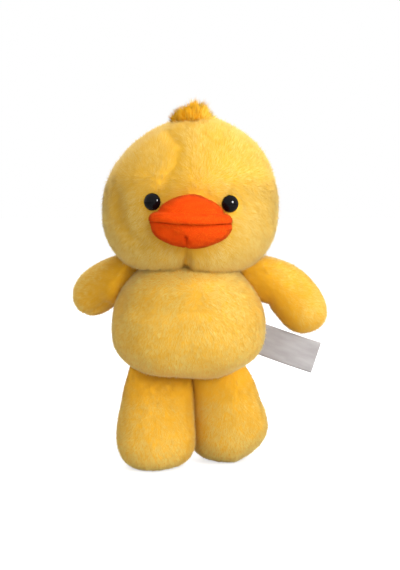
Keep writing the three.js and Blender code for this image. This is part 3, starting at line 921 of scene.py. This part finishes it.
def comb_head(roots):
    """Away from the part and the bill, down over the cheeks and up over the forehead."""
    own = turned_about(roots - CHEST, 1, -HEAD_TILT)
    x, y, z = own.T
    front = frontness(own)
    distance, side = distance_to_line(own[:, [0, 2]], PART_LINE)
    sideways = side * front * bell(distance, width=22.0, height=0.9) + np.sign(x) * COMBED_ASIDE
    brushed_up = smoothstep(z, *BRUSHED_UP) * fade(y, low=0, high=30)
    way = np.column_stack([sideways, lerp(LYING_DOWN, LYING_UP, brushed_up[:, None])])
    from_bill = (own - (0, 0, MOUTH_RISE)) * FLAT
    near_bill = front * bell(distances(from_bill, 0), width=34.0, height=1.6)
    return turned_about(way + unit(from_bill) * near_bill[:, None], 1, HEAD_TILT)


def add_head_cover():
    """The head. What comes back is its skin, for finding what touches it."""
    points, faces = skin(ball_rings(
        HEAD_MESH, HEAD_INSET, HEAD_RISE, HEAD_HALF_WIDTH, lambda height: HEAD_HALF_DEPTH,
        lower=(CHIN_DROP + CHIN_SAG, CHIN_FULLNESS), upper=(CROWN_RISE, CROWN_FULLNESS),
    ))
    x, _, z = points.T
    eyes = [eye_place(side) for side in ("left", "right")]
    front = frontness(points)
    part, _ = distance_to_line(points[:, [0, 2]], PART_LINE)
    cheek, _ = distance_to_line(points[:, [0, 2]], CHEEK_LINE)
    below_bill = smoothstep(MOUTH_RISE - LOWER_BILL_DROP - z, low=-6, high=2)
    from_flat_side = distances(unit(points - (0, 0, HEAD_RISE)), unit(FLAT_SIDE))
    creases = bell(part, width=5.0, height=1.1) + bell(cheek, width=5.0, height=2.2)
    creases += below_bill * bell(x - CHIN_SEAM_AT, width=2.6, height=3.4)
    depths = wobble(points, height=0.6, size=46, seed=1)
    depths += front * (wobble(points, height=0.4, size=22, seed=2) - creases)
    depths -= bell(from_flat_side, width=0.62, height=4.6)
    depths -= (1 - front) * bell(x, width=2.2, height=0.8)  # the seam at the back
    for eye in eyes:
        depths -= bell(distances(points, eye), width=11.0, height=1.0)
    points = pushed(points, faces, depths)

    points[:, 0] -= smoothstep(points[:, 0], low=20, high=60, height=LEFT_CHEEK_SLACK)
    points[:, 0] *= 1 - smoothstep(HEAD_RISE - points[:, 2], low=12, high=40, height=CHEEK_TAPER)
    lowest = smoothstep(HEAD_RISE - points[:, 2], low=28, high=42)
    from_seam = points[:, 0] - CHIN_SEAM_AT
    hang = bell(from_seam, width=4.5, height=CHIN_NOTCH)
    hang -= bell(np.abs(from_seam) - CHIN_LOBE_AT, width=13.0, height=CHIN_LOBE)
    points[:, 2] += front * lowest * hang
    from_chest = distances(points, 0)
    from_top = np.arccos(np.clip(points[:, 2] / from_chest, -1, 1))
    bowl = lerp(BOWL_RADIUS, RIM_RADIUS, smoothstep(from_top, RIM_FROM, RIM_TO))
    outside = from_chest - bowl
    points = points * (np.maximum(from_chest, bowl) / from_chest)[:, None]
    points = lerp(points, relaxed(points, faces, times=4), bell(outside, width=4.0)[:, None])

    x, y, z = points.T
    cover = smoothstep(outside, low=-0.6, high=0.2)
    for eye in eyes:
        cover *= smoothstep(distances(points, eye) - EYE_RADIUS, low=-1, high=4)
    bill_height = np.where(z > MOUTH_RISE, UPPER_BILL_RISE, LOWER_BILL_DROP)
    in_bill = np.hypot(x / BILL_ROOT_HALF_WIDTH, (z - MOUTH_RISE) / bill_height)
    cover *= np.where(y < 0, smoothstep(in_bill, low=0.9, high=1.1), 1)
    cover *= 1 - front * bell(part, width=3.5, height=0.45)
    cover *= 1 - front * below_bill * bell(x - CHIN_SEAM_AT, width=1.6, height=0.4)
    # Painted shade: deeper along the parting, the cheek crease, round the bill and along the chin seam, and
    # towards the rim over the chest.
    painted_crease_shade = bell(part, width=5.0, height=0.35) + bell(cheek, width=5.0, height=0.3)
    painted_crease_shade += bell(in_bill - 1, width=0.3, height=0.4)
    painted_crease_shade += below_bill * bell(x - CHIN_SEAM_AT, width=5.0, height=0.35)
    # Painted light and shade: paler below, over the cheeks, and deeper over the crown.
    tint = lerp(CHEEK_PAINTED_LIGHT, CROWN_PAINTED_SHADE, smoothstep(z - HEAD_RISE, low=-25, high=20))
    tint -= front * painted_crease_shade + bell(outside, width=6.0, height=0.3)
    points = on_head(points)
    piece = add_plush("head", points, faces, cover, comb_head, HEAD_PILE, HEAD_PLUSH, tint)
    stands_for(piece, "head", "head_plush", "head_left_panel", "head_right_panel", "head_stuffing")
    return BVHTree.FromPolygons(points.tolist(), faces.tolist())


EYE_BACK = 3.0  # the rounded back of an eye, down to the skin
EYE_BACK_ROUND = ((1.6, 2.6), (0.5, 1.6), (0.05, 0.5))  # inwards from its edge, and backwards
SHANK_CHAMFER = 0.4
DOME_STEPS = 13
EYE_SIDES = 48


def lathe(profile, sides):
    """Rings about Z through [radius, height] places."""
    angles = np.arange(sides) / sides * 2 * np.pi
    return np.array([
        np.stack([radius * np.cos(angles), radius * np.sin(angles), np.full(sides, height)], axis=1)
        for radius, height in profile
    ])


def add_eye(side):
    place = eye_place(side)
    slopes = (HEAD_HALF_WIDTH ** 2, HEAD_HALF_DEPTH ** 2, CROWN_RISE ** 2)
    outwards = unit((place - (0, 0, HEAD_RISE)) / slopes)
    profile = [(0, -SHANK_LENGTH), (SHANK_RADIUS, -SHANK_LENGTH + SHANK_CHAMFER), (SHANK_RADIUS, -EYE_BACK)]
    profile += [(EYE_RADIUS - inwards, -backwards) for inwards, backwards in EYE_BACK_ROUND]
    for angle in np.linspace(0, math.pi / 2, DOME_STEPS + 1)[:-1]:
        profile.append((EYE_RADIUS * math.cos(angle), EYE_DOME * math.sin(angle)))
    profile.append((0, EYE_DOME))
    points, faces = skin(lathe(profile, EYE_SIDES))
    across = unit(np.cross((0, 0, 1.0), outwards))
    upright = np.cross(outwards, across)
    points = points @ np.stack([across, upright, outwards]) + place
    piece = add_mesh(f"{side}_safety_eye", on_head(points), faces, EYE_PLASTIC)
    stands_for(piece, "head", "eye_plastic", f"{side}_eye")


# Bill

UPPER_ARCH = 1.6  # a power above 1 makes a narrower arch
LOWER_ARCH = 1.0
BILL_ROUNDING = 3
LIP_RISE = 3.4  # middle of the rolled lip, above the mouth
LIP_TOP = 7.6
LIP_SIDE = 1.0  # how far it swells at the sides, and in the middle
LIP_MIDDLE = 1.5
# Painted light: the rolled lip is paler where light catches its top.
LIP_PAINTED_LIGHT = 0.2
MOUTH_SAG = 1.3  # the mouth hangs this far lower in the middle
FOLD_LINE = np.array([(-27.0, -3.0), (-15, -7), (-7, -13)])  # a soft fold in the lower bill, from the mouth
LOWER_BILL_TONE = 0.35
BILL_COMB = np.array((0.6, -0.5, -0.6))  # outwards, to the front and down


def bill_rings(height, reach, sign, arch_power):
    """Half of the bill: an arch over the mouth, closed along it."""
    steps, top_sides, flat_sides = BILL_MESH
    root = -face_at(0, MOUTH_RISE) + BILL_BURY
    length = BILL_BURY + reach
    arch = np.linspace(0, math.pi, top_sides)
    flat = np.linspace(-1, 1, flat_sides + 2)[1:-1]
    edge = MOUTH_RISE + sign * MOUTH_GAP / 2
    rings = []
    for step in range(steps + 1):
        place = length * math.sin(step / steps * math.pi / 2)
        swell = fullness(max(0, (place - (length - BILL_ROUND)) / BILL_ROUND), BILL_FULLNESS)
        widened = smoothstep(place, 0, BILL_WIDEST_AT)
        half_width = lerp(BILL_ROOT_HALF_WIDTH, BILL_HALF_WIDTH, widened) * swell
        xs = np.concatenate([half_width * np.cos(arch), half_width * flat])
        rise = sign * height * swell * np.sin(arch) ** arch_power
        zs = np.concatenate([edge + rise, np.full(flat_sides, edge)])
        rings.append(np.stack([xs, np.full(len(xs), root - place), zs], axis=1))
    return np.array(rings)


def bill_middle(points):
    """1 on the middle line of the bill, and 0 at its sides."""
    return np.clip(1 - (points[:, 0] / BILL_HALF_WIDTH) ** 2, 0, 1)


def comb_bill(roots):
    way = np.tile(BILL_COMB, (len(roots), 1))
    way[:, 0] *= np.sign(roots[:, 0] - CHEST[0])
    return way


def add_bill_piece(name, points, faces, tint):
    cover = np.ones(len(points))
    piece = add_plush(name, on_head(points), faces, cover, comb_bill, FELT_PILE, BILL_FELT, tint)
    stands_for(piece, "head", "bill_felt", f"{name}_cover", f"{name}_stuffing")


def add_upper_bill():
    points, faces = skin(bill_rings(UPPER_BILL_RISE, UPPER_BILL_REACH, 1, UPPER_ARCH))
    points = relaxed(points, faces, BILL_ROUNDING)
    rise = points[:, 2] - MOUTH_RISE
    on_lip = bell(rise - LIP_RISE, width=3.0)
    lip = lerp(LIP_SIDE, LIP_MIDDLE, bill_middle(points)) * on_lip
    lip -= bell(rise - LIP_TOP, width=1.6, height=1.1)
    above = smoothstep(rise, low=0.0, high=1.2)
    points = pushed(points, faces, lip * above + wobble(points, height=0.25, size=15, seed=31))
    points[:, 2] -= MOUTH_SAG * bill_middle(points) * fade(rise, low=2, high=UPPER_BILL_RISE)
    # The lip is painted paler: painted light.
    add_bill_piece("upper_bill", points, faces, LIP_PAINTED_LIGHT * on_lip)


def add_lower_bill():
    points, faces = skin(bill_rings(LOWER_BILL_DROP, LOWER_BILL_REACH, -1, LOWER_ARCH))
    points = relaxed(points, faces, BILL_ROUNDING)
    x, drop = points[:, 0], MOUTH_RISE - points[:, 2]
    fold, _ = distance_to_line(np.stack([x, -drop], axis=1), FOLD_LINE)
    below_mouth = smoothstep(drop, low=1.0, high=4.0)
    pinch = bell(x - CHIN_SEAM_AT, width=0.9, height=2.2) * smoothstep(drop, low=10, high=12.5)
    pinch *= 1 - smoothstep(drop, low=14, high=18, height=0.75)
    wider = smoothstep(np.abs(x), low=16, high=26, height=1.0)
    depths = wider - pinch - bell(fold, width=6.0, height=1.5) + wobble(points, height=0.2, size=16, seed=32)
    # Painted shade: deeper along the fold and in the pinched slit.
    tint = LOWER_BILL_TONE - bell(fold, width=7.0, height=0.5)
    tint -= bell(x - CHIN_SEAM_AT, width=1.5, height=0.4)
    points = pushed(points, faces, depths * below_mouth)
    points[:, 2] -= MOUTH_SAG * bill_middle(points) * fade(drop, low=2, high=10)
    add_bill_piece("lower_bill", points, faces, tint)


# Crest

SOFT_CREST_SHIFT = CREST_SHIFT - 3.0
CREST_FORWARD = 6.0  # the soft crest sits this far in front of its solid
CREST_CORE_WIDTH = 0.7  # share of the crest's width that its core takes
CREST_CORE_RISE = 0.5
CREST_CORE_FULLNESS = 2.2
CREST_PILE_DEPTH = 6.0  # the pile starts this far below the crown
CREST_COVER = 0.6  # share of full pile at its sides
CREST_PEAK_AT = 0.15  # and the place of its peak, as a share of its half width
CREST_TONE = -0.2
CREST_FAN = 0.02


def comb_crest(roots):
    way = np.tile((0.0, 0.0, 1.0), (len(roots), 1))
    way[:, 0] = (roots[:, 0] - CHEST[0]) * CREST_FAN
    return way


def add_crest():
    top = HEAD_RISE + CROWN_RISE
    base = np.array((SOFT_CREST_SHIFT, -CREST_FORWARD, top - CREST_BURY))

    def ring_at(share):
        place = math.sin(share * math.pi / 2)
        swell = fullness(place, CREST_CORE_FULLNESS)
        return (
            base + (0, 0, place * (CREST_BURY + CREST_CORE_RISE)),
            np.array((CREST_CORE_WIDTH * CREST_HALF_WIDTH * swell, 0, 0)),
            np.array((0, CREST_HALF_DEPTH * swell, 0)),
        )

    points, faces = skin(loft(ring_at, *CREST_MESH))
    aside = (points[:, 0] - SOFT_CREST_SHIFT) / CREST_HALF_WIDTH
    cover = CREST_COVER + bell(aside - CREST_PEAK_AT, width=0.25, height=0.34)
    cover *= points[:, 2] > top - CREST_PILE_DEPTH
    # Painted light: paler towards the crest's +X side, which the key lamp lights.
    tint = CREST_TONE + smoothstep(aside, low=0.0, high=0.8, height=0.6)
    piece = add_plush("crest", on_head(points), faces, cover, comb_crest, CREST_LONG_PILE, CREST_PILE, tint)
    stands_for(piece, "head", "crest_pile", "crest_tuft")


# Neck, threads and label

GATHERS = 40
GATHER_DEPTH = 0.2
GATHER_INSET = 0.3
RING_LIFT = 0.4  # of the ring's underside over the chest
RING_SIDES = 240
RING_STEPS = 7


def add_neck_ring():
    """The gathered neck seam: a band of cloth on the dome of the chest, with a fold at each stitch."""
    turns = np.arange(RING_SIDES) / RING_SIDES * 2 * np.pi
    tilts = np.linspace(RING_INNER_ANGLE, RING_OUTER_ANGLE, RING_STEPS)
    outer = RING_RADIUS - GATHER_INSET + GATHER_DEPTH * np.sin(GATHERS * turns)
    inner = np.full(RING_SIDES, CHEST_RADIUS + RING_LIFT)
    rings = []
    for reach, order in ((outer, tilts), (inner, tilts[::-1])):
        for tilt in order:
            across, rise = reach * math.sin(tilt), reach * math.cos(tilt)
            rings.append(np.stack([across * np.cos(turns), across * np.sin(turns), rise], axis=1))
    points = np.concatenate(rings)
    index = np.arange(len(points)).reshape(-1, RING_SIDES)
    below = np.roll(index, -1, axis=0)
    faces = quads(index, below, np.roll(below, -1, axis=1), np.roll(index, -1, axis=1))
    piece = add_mesh("neck_gathers", points + CHEST, faces, PAINTED_SHADE_BACKING)
    stands_for(piece, "neck", "head_plush", "neck_seam_ring")


SEAM_END = 4.0  # the stitches stop this far from the ends of a seam
STITCH_RUN = 4.0
FEWEST_STITCHES = 4
STITCH_SLANT = 0.35
STITCH_HALF_LENGTH = 0.62  # as a share of its run
STITCH_FULLNESS = 2.4
THREAD_RADIUS = 0.5


def add_stitches(name):
    """A hand seam: slanted stitches of thread in a row."""
    low, high = (np.array(corner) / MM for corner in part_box(f"{name}_seam_thread"))
    start, end = low.copy(), high.copy()
    if "leg" in name:
        start[1:] = end[1:] = (low[1:] + high[1:]) / 2
    else:
        start[1] = end[1] = (low[1] + high[1]) / 2
        if "left" in name:
            start[0], end[0] = high[0], low[0]
    ahead = unit(end - start)
    start, end = start + SEAM_END * ahead, end - SEAM_END * ahead
    length = np.linalg.norm(end - start)
    count = max(FEWEST_STITCHES, int(length / STITCH_RUN))
    half_length = length / count * STITCH_HALF_LENGTH
    aside = np.array((0, 1.0, 0))
    slant = unit(ahead + STITCH_SLANT * aside)
    third = np.cross(slant, aside)

    def ring_at(share):
        along = math.cos(share * math.pi)
        swell = fullness(along, STITCH_FULLNESS) * THREAD_RADIUS
        return -slant * along * half_length, aside * swell, third * swell

    points, faces = skin(loft(ring_at, *STITCH_MESH))
    middles = [lerp(start, end, (stitch + 0.5) / count) for stitch in range(count)]
    row = np.concatenate([points + middle for middle in middles])
    row_faces = np.concatenate([faces + stitch * len(points) for stitch in range(count)])
    piece = add_mesh(f"{name}_stitches", row, row_faces, THREAD)
    stands_for(piece, "body", "thread", f"{name}_seam_thread")


RIBBON_CLOTH = 0.4
RIBBON_FOLD = 0.55  # half of the distance between the two layers
LABEL_BOW = 2.2  # how far the ribbon bows to the front
LABEL_CURL = 3.0
LABEL_TUCK = 5.0  # how far it goes into the seam
LABEL_STEPS = 34
LABEL_COLUMNS = 17
FOLD_STEPS = 9


def add_label():
    """A ribbon folded in two and sewn in by its open end."""
    straight = LABEL_LENGTH - RIBBON_FOLD - RIBBON_CLOTH / 2
    bends = np.linspace(-math.pi / 2, math.pi / 2, FOLD_STEPS)
    lengthways = np.linspace(-LABEL_TUCK, straight, LABEL_STEPS)[:-1]
    line = [(run, -RIBBON_FOLD) for run in lengthways]
    line += [(straight + RIBBON_FOLD * math.cos(a), RIBBON_FOLD * math.sin(a)) for a in bends]
    line += [(run, RIBBON_FOLD) for run in lengthways[::-1]]
    line = np.array(line)
    ahead = unit(np.gradient(line, axis=0))
    outward = np.stack([ahead[:, 1], -ahead[:, 0]], axis=1)
    widths = np.linspace(-LABEL_WIDTH / 2, LABEL_WIDTH / 2, LABEL_COLUMNS)
    walked = walked_along(line)
    sheets = []
    for offset in (RIBBON_CLOTH / 2, -RIBBON_CLOTH / 2):
        edge = line + outward * offset
        sheets.append(np.stack(np.broadcast_arrays(edge[:, :1], edge[:, 1:], widths), axis=-1))
    points = np.concatenate(sheets).reshape(-1, 3)
    place = np.stack(np.broadcast_arrays(walked[:, None] / walked[-1], widths / LABEL_WIDTH + 0.5), axis=-1)
    places = np.tile(place.reshape(-1, 2), (2, 1))
    front, back = np.arange(len(points)).reshape(2, len(line), LABEL_COLUMNS)
    faces = np.concatenate([
        quads(front[:-1, :-1], front[1:, :-1], front[1:, 1:], front[:-1, 1:]),
        quads(back[:-1, :-1], back[:-1, 1:], back[1:, 1:], back[1:, :-1]),
        quads(front[:-1, 0], back[:-1, 0], back[1:, 0], front[1:, 0]),
        quads(front[1:, -1], back[1:, -1], back[:-1, -1], front[:-1, -1]),
        quads(front[0, 1:], back[0, 1:], back[0, :-1], front[0, :-1]),
        quads(front[-1, :-1], back[-1, :-1], back[-1, 1:], front[-1, 1:]),
    ])
    share = points[:, 0] / LABEL_LENGTH
    curl = share * share * (points[:, 2] / LABEL_WIDTH) * LABEL_CURL
    points[:, 1] += -LABEL_BOW * np.sin(np.clip(share, 0, 1) * math.pi) + curl
    points = turned_about(points, 1, LABEL_TILT) + joint_place("label_flap")
    piece = add_mesh("ribbon_loop", points, faces, RIBBON, places[faces.ravel()])
    stands_for(piece, "label", "ribbon", "ribbon_label")


def dress_cad_nodes():
    for side in ("left", "right"):
        node = frame["nodes"][f"{side}_eye_washer"]
        node.data.materials.clear()
        node.data.materials.append(WASHER_PLASTIC)


add_body()
head_skin = add_head_cover()
for side_name in ("left", "right"):
    add_leg(side_name)
    add_arm(side_name, head_skin)
    add_eye(side_name)
    for limb_name in ("arm", "leg"):
        add_stitches(f"{side_name}_{limb_name}")
add_upper_bill()
add_lower_bill()
add_crest()
add_neck_ring()
add_label()
dress_cad_nodes()

# Stage, with lengths in metres

FLOOR_HALF_SIDE = 6.0
FLOOR_GLOW = 0.72  # as the camera sees it
PAPER = (0.55, 0.55, 0.55, 1)
AMBIENT = 0.68
TARGET = Vector((CHEST + (8.8, 0, 31.6)) * MM)  # the middle of the picture
CAMERA_DISTANCE = 0.9
CAMERA_ELEVATION = math.radians(5)
VIEW_HEIGHT = 0.4343  # of the frame, at the target
SENSOR = 36.0


def add_floor():
    half = FLOOR_HALF_SIDE
    corners = [(-half, -half, 0), (half, -half, 0), (half, half, 0), (-half, half, 0)]
    mesh = bpy.data.meshes.new("floor")
    mesh.from_pydata(corners, [], [(0, 1, 2, 3)])
    nodes = material_nodes("paper")
    path = nodes.add("ShaderNodeLightPath")
    glow = nodes.calculate("MULTIPLY", path.outputs["Is Camera Ray"], FLOOR_GLOW)
    mesh.materials.append(nodes.finish(
        Base_Color=PAPER, Roughness=1.0, Specular_IOR_Level=0.0, Emission_Color=WHITE, Emission_Strength=glow,
    ))
    floor = bpy.data.objects.new("floor", mesh)
    bpy.context.scene.collection.objects.link(floor)


def set_world():
    """A white backdrop, which lights dull surfaces a little less than it shows."""
    nodes = Nodes(bpy.data.worlds.new("studio"), "Background")
    path = nodes.add("ShaderNodeLightPath").outputs
    seen = nodes.calculate("MAXIMUM", path["Is Camera Ray"], path["Is Glossy Ray"])
    seen = nodes.calculate("MAXIMUM", seen, path["Is Transmission Ray"])
    bpy.context.scene.world = nodes.finish(Strength=nodes.span(seen, low=AMBIENT, high=1.0), Color=WHITE)


def aim(thing, back, distance):
    """Puts a lamp or a camera at a distance back from the target, looking at it."""
    thing.location = TARGET + back * distance
    thing.rotation_euler = back.to_track_quat("Z", "Y").to_euler()
    bpy.context.scene.collection.objects.link(thing)


def add_lamp(name, azimuth, elevation, distance, size, watts, lights=True, glints=True):
    """A soft box that looks at the toy. Azimuth 0 is the toy's front, and 90 its left.
    lights and glints say whether it lights dull surfaces, and whether it shows in glossy ones."""
    lamp = bpy.data.lights.new(name, "AREA")
    lamp.shape = "RECTANGLE"
    lamp.size, lamp.size_y = size
    lamp.energy = watts
    azimuth, elevation = math.radians(azimuth), math.radians(elevation)
    lamp_object = bpy.data.objects.new(name, lamp)
    lamp_object.visible_diffuse = lights
    lamp_object.visible_glossy = glints
    level = math.cos(elevation)
    back = Vector((math.sin(azimuth) * level, -math.cos(azimuth) * level, math.sin(elevation)))
    aim(lamp_object, back, distance)


def add_camera():
    camera = bpy.data.cameras.new("camera")
    camera.sensor_fit = "VERTICAL"
    camera.sensor_height = SENSOR
    camera.lens = SENSOR * CAMERA_DISTANCE / VIEW_HEIGHT
    camera_object = bpy.data.objects.new("camera", camera)
    aim(camera_object, Vector((0, -math.cos(CAMERA_ELEVATION), math.sin(CAMERA_ELEVATION))), CAMERA_DISTANCE)
    bpy.context.scene.camera = camera_object


add_floor()
set_world()
add_lamp("key", azimuth=44, elevation=18, distance=1.3, size=(0.3, 0.42), watts=8.0, glints=False)
add_lamp("front", azimuth=18, elevation=26, distance=1.4, size=(1.0, 1.0), watts=7.5, glints=False)
add_lamp("above", azimuth=45, elevation=66, distance=1.4, size=(1.0, 1.0), watts=8.0, glints=False)
add_lamp("back", azimuth=190, elevation=42, distance=1.4, size=(1.2, 1.2), watts=9.0, glints=False)
add_lamp("catch", azimuth=46, elevation=20, distance=1.3, size=(0.34, 0.34), watts=34.0, lights=False)
add_camera()
bpy.context.scene.view_settings.view_transform = "Standard"
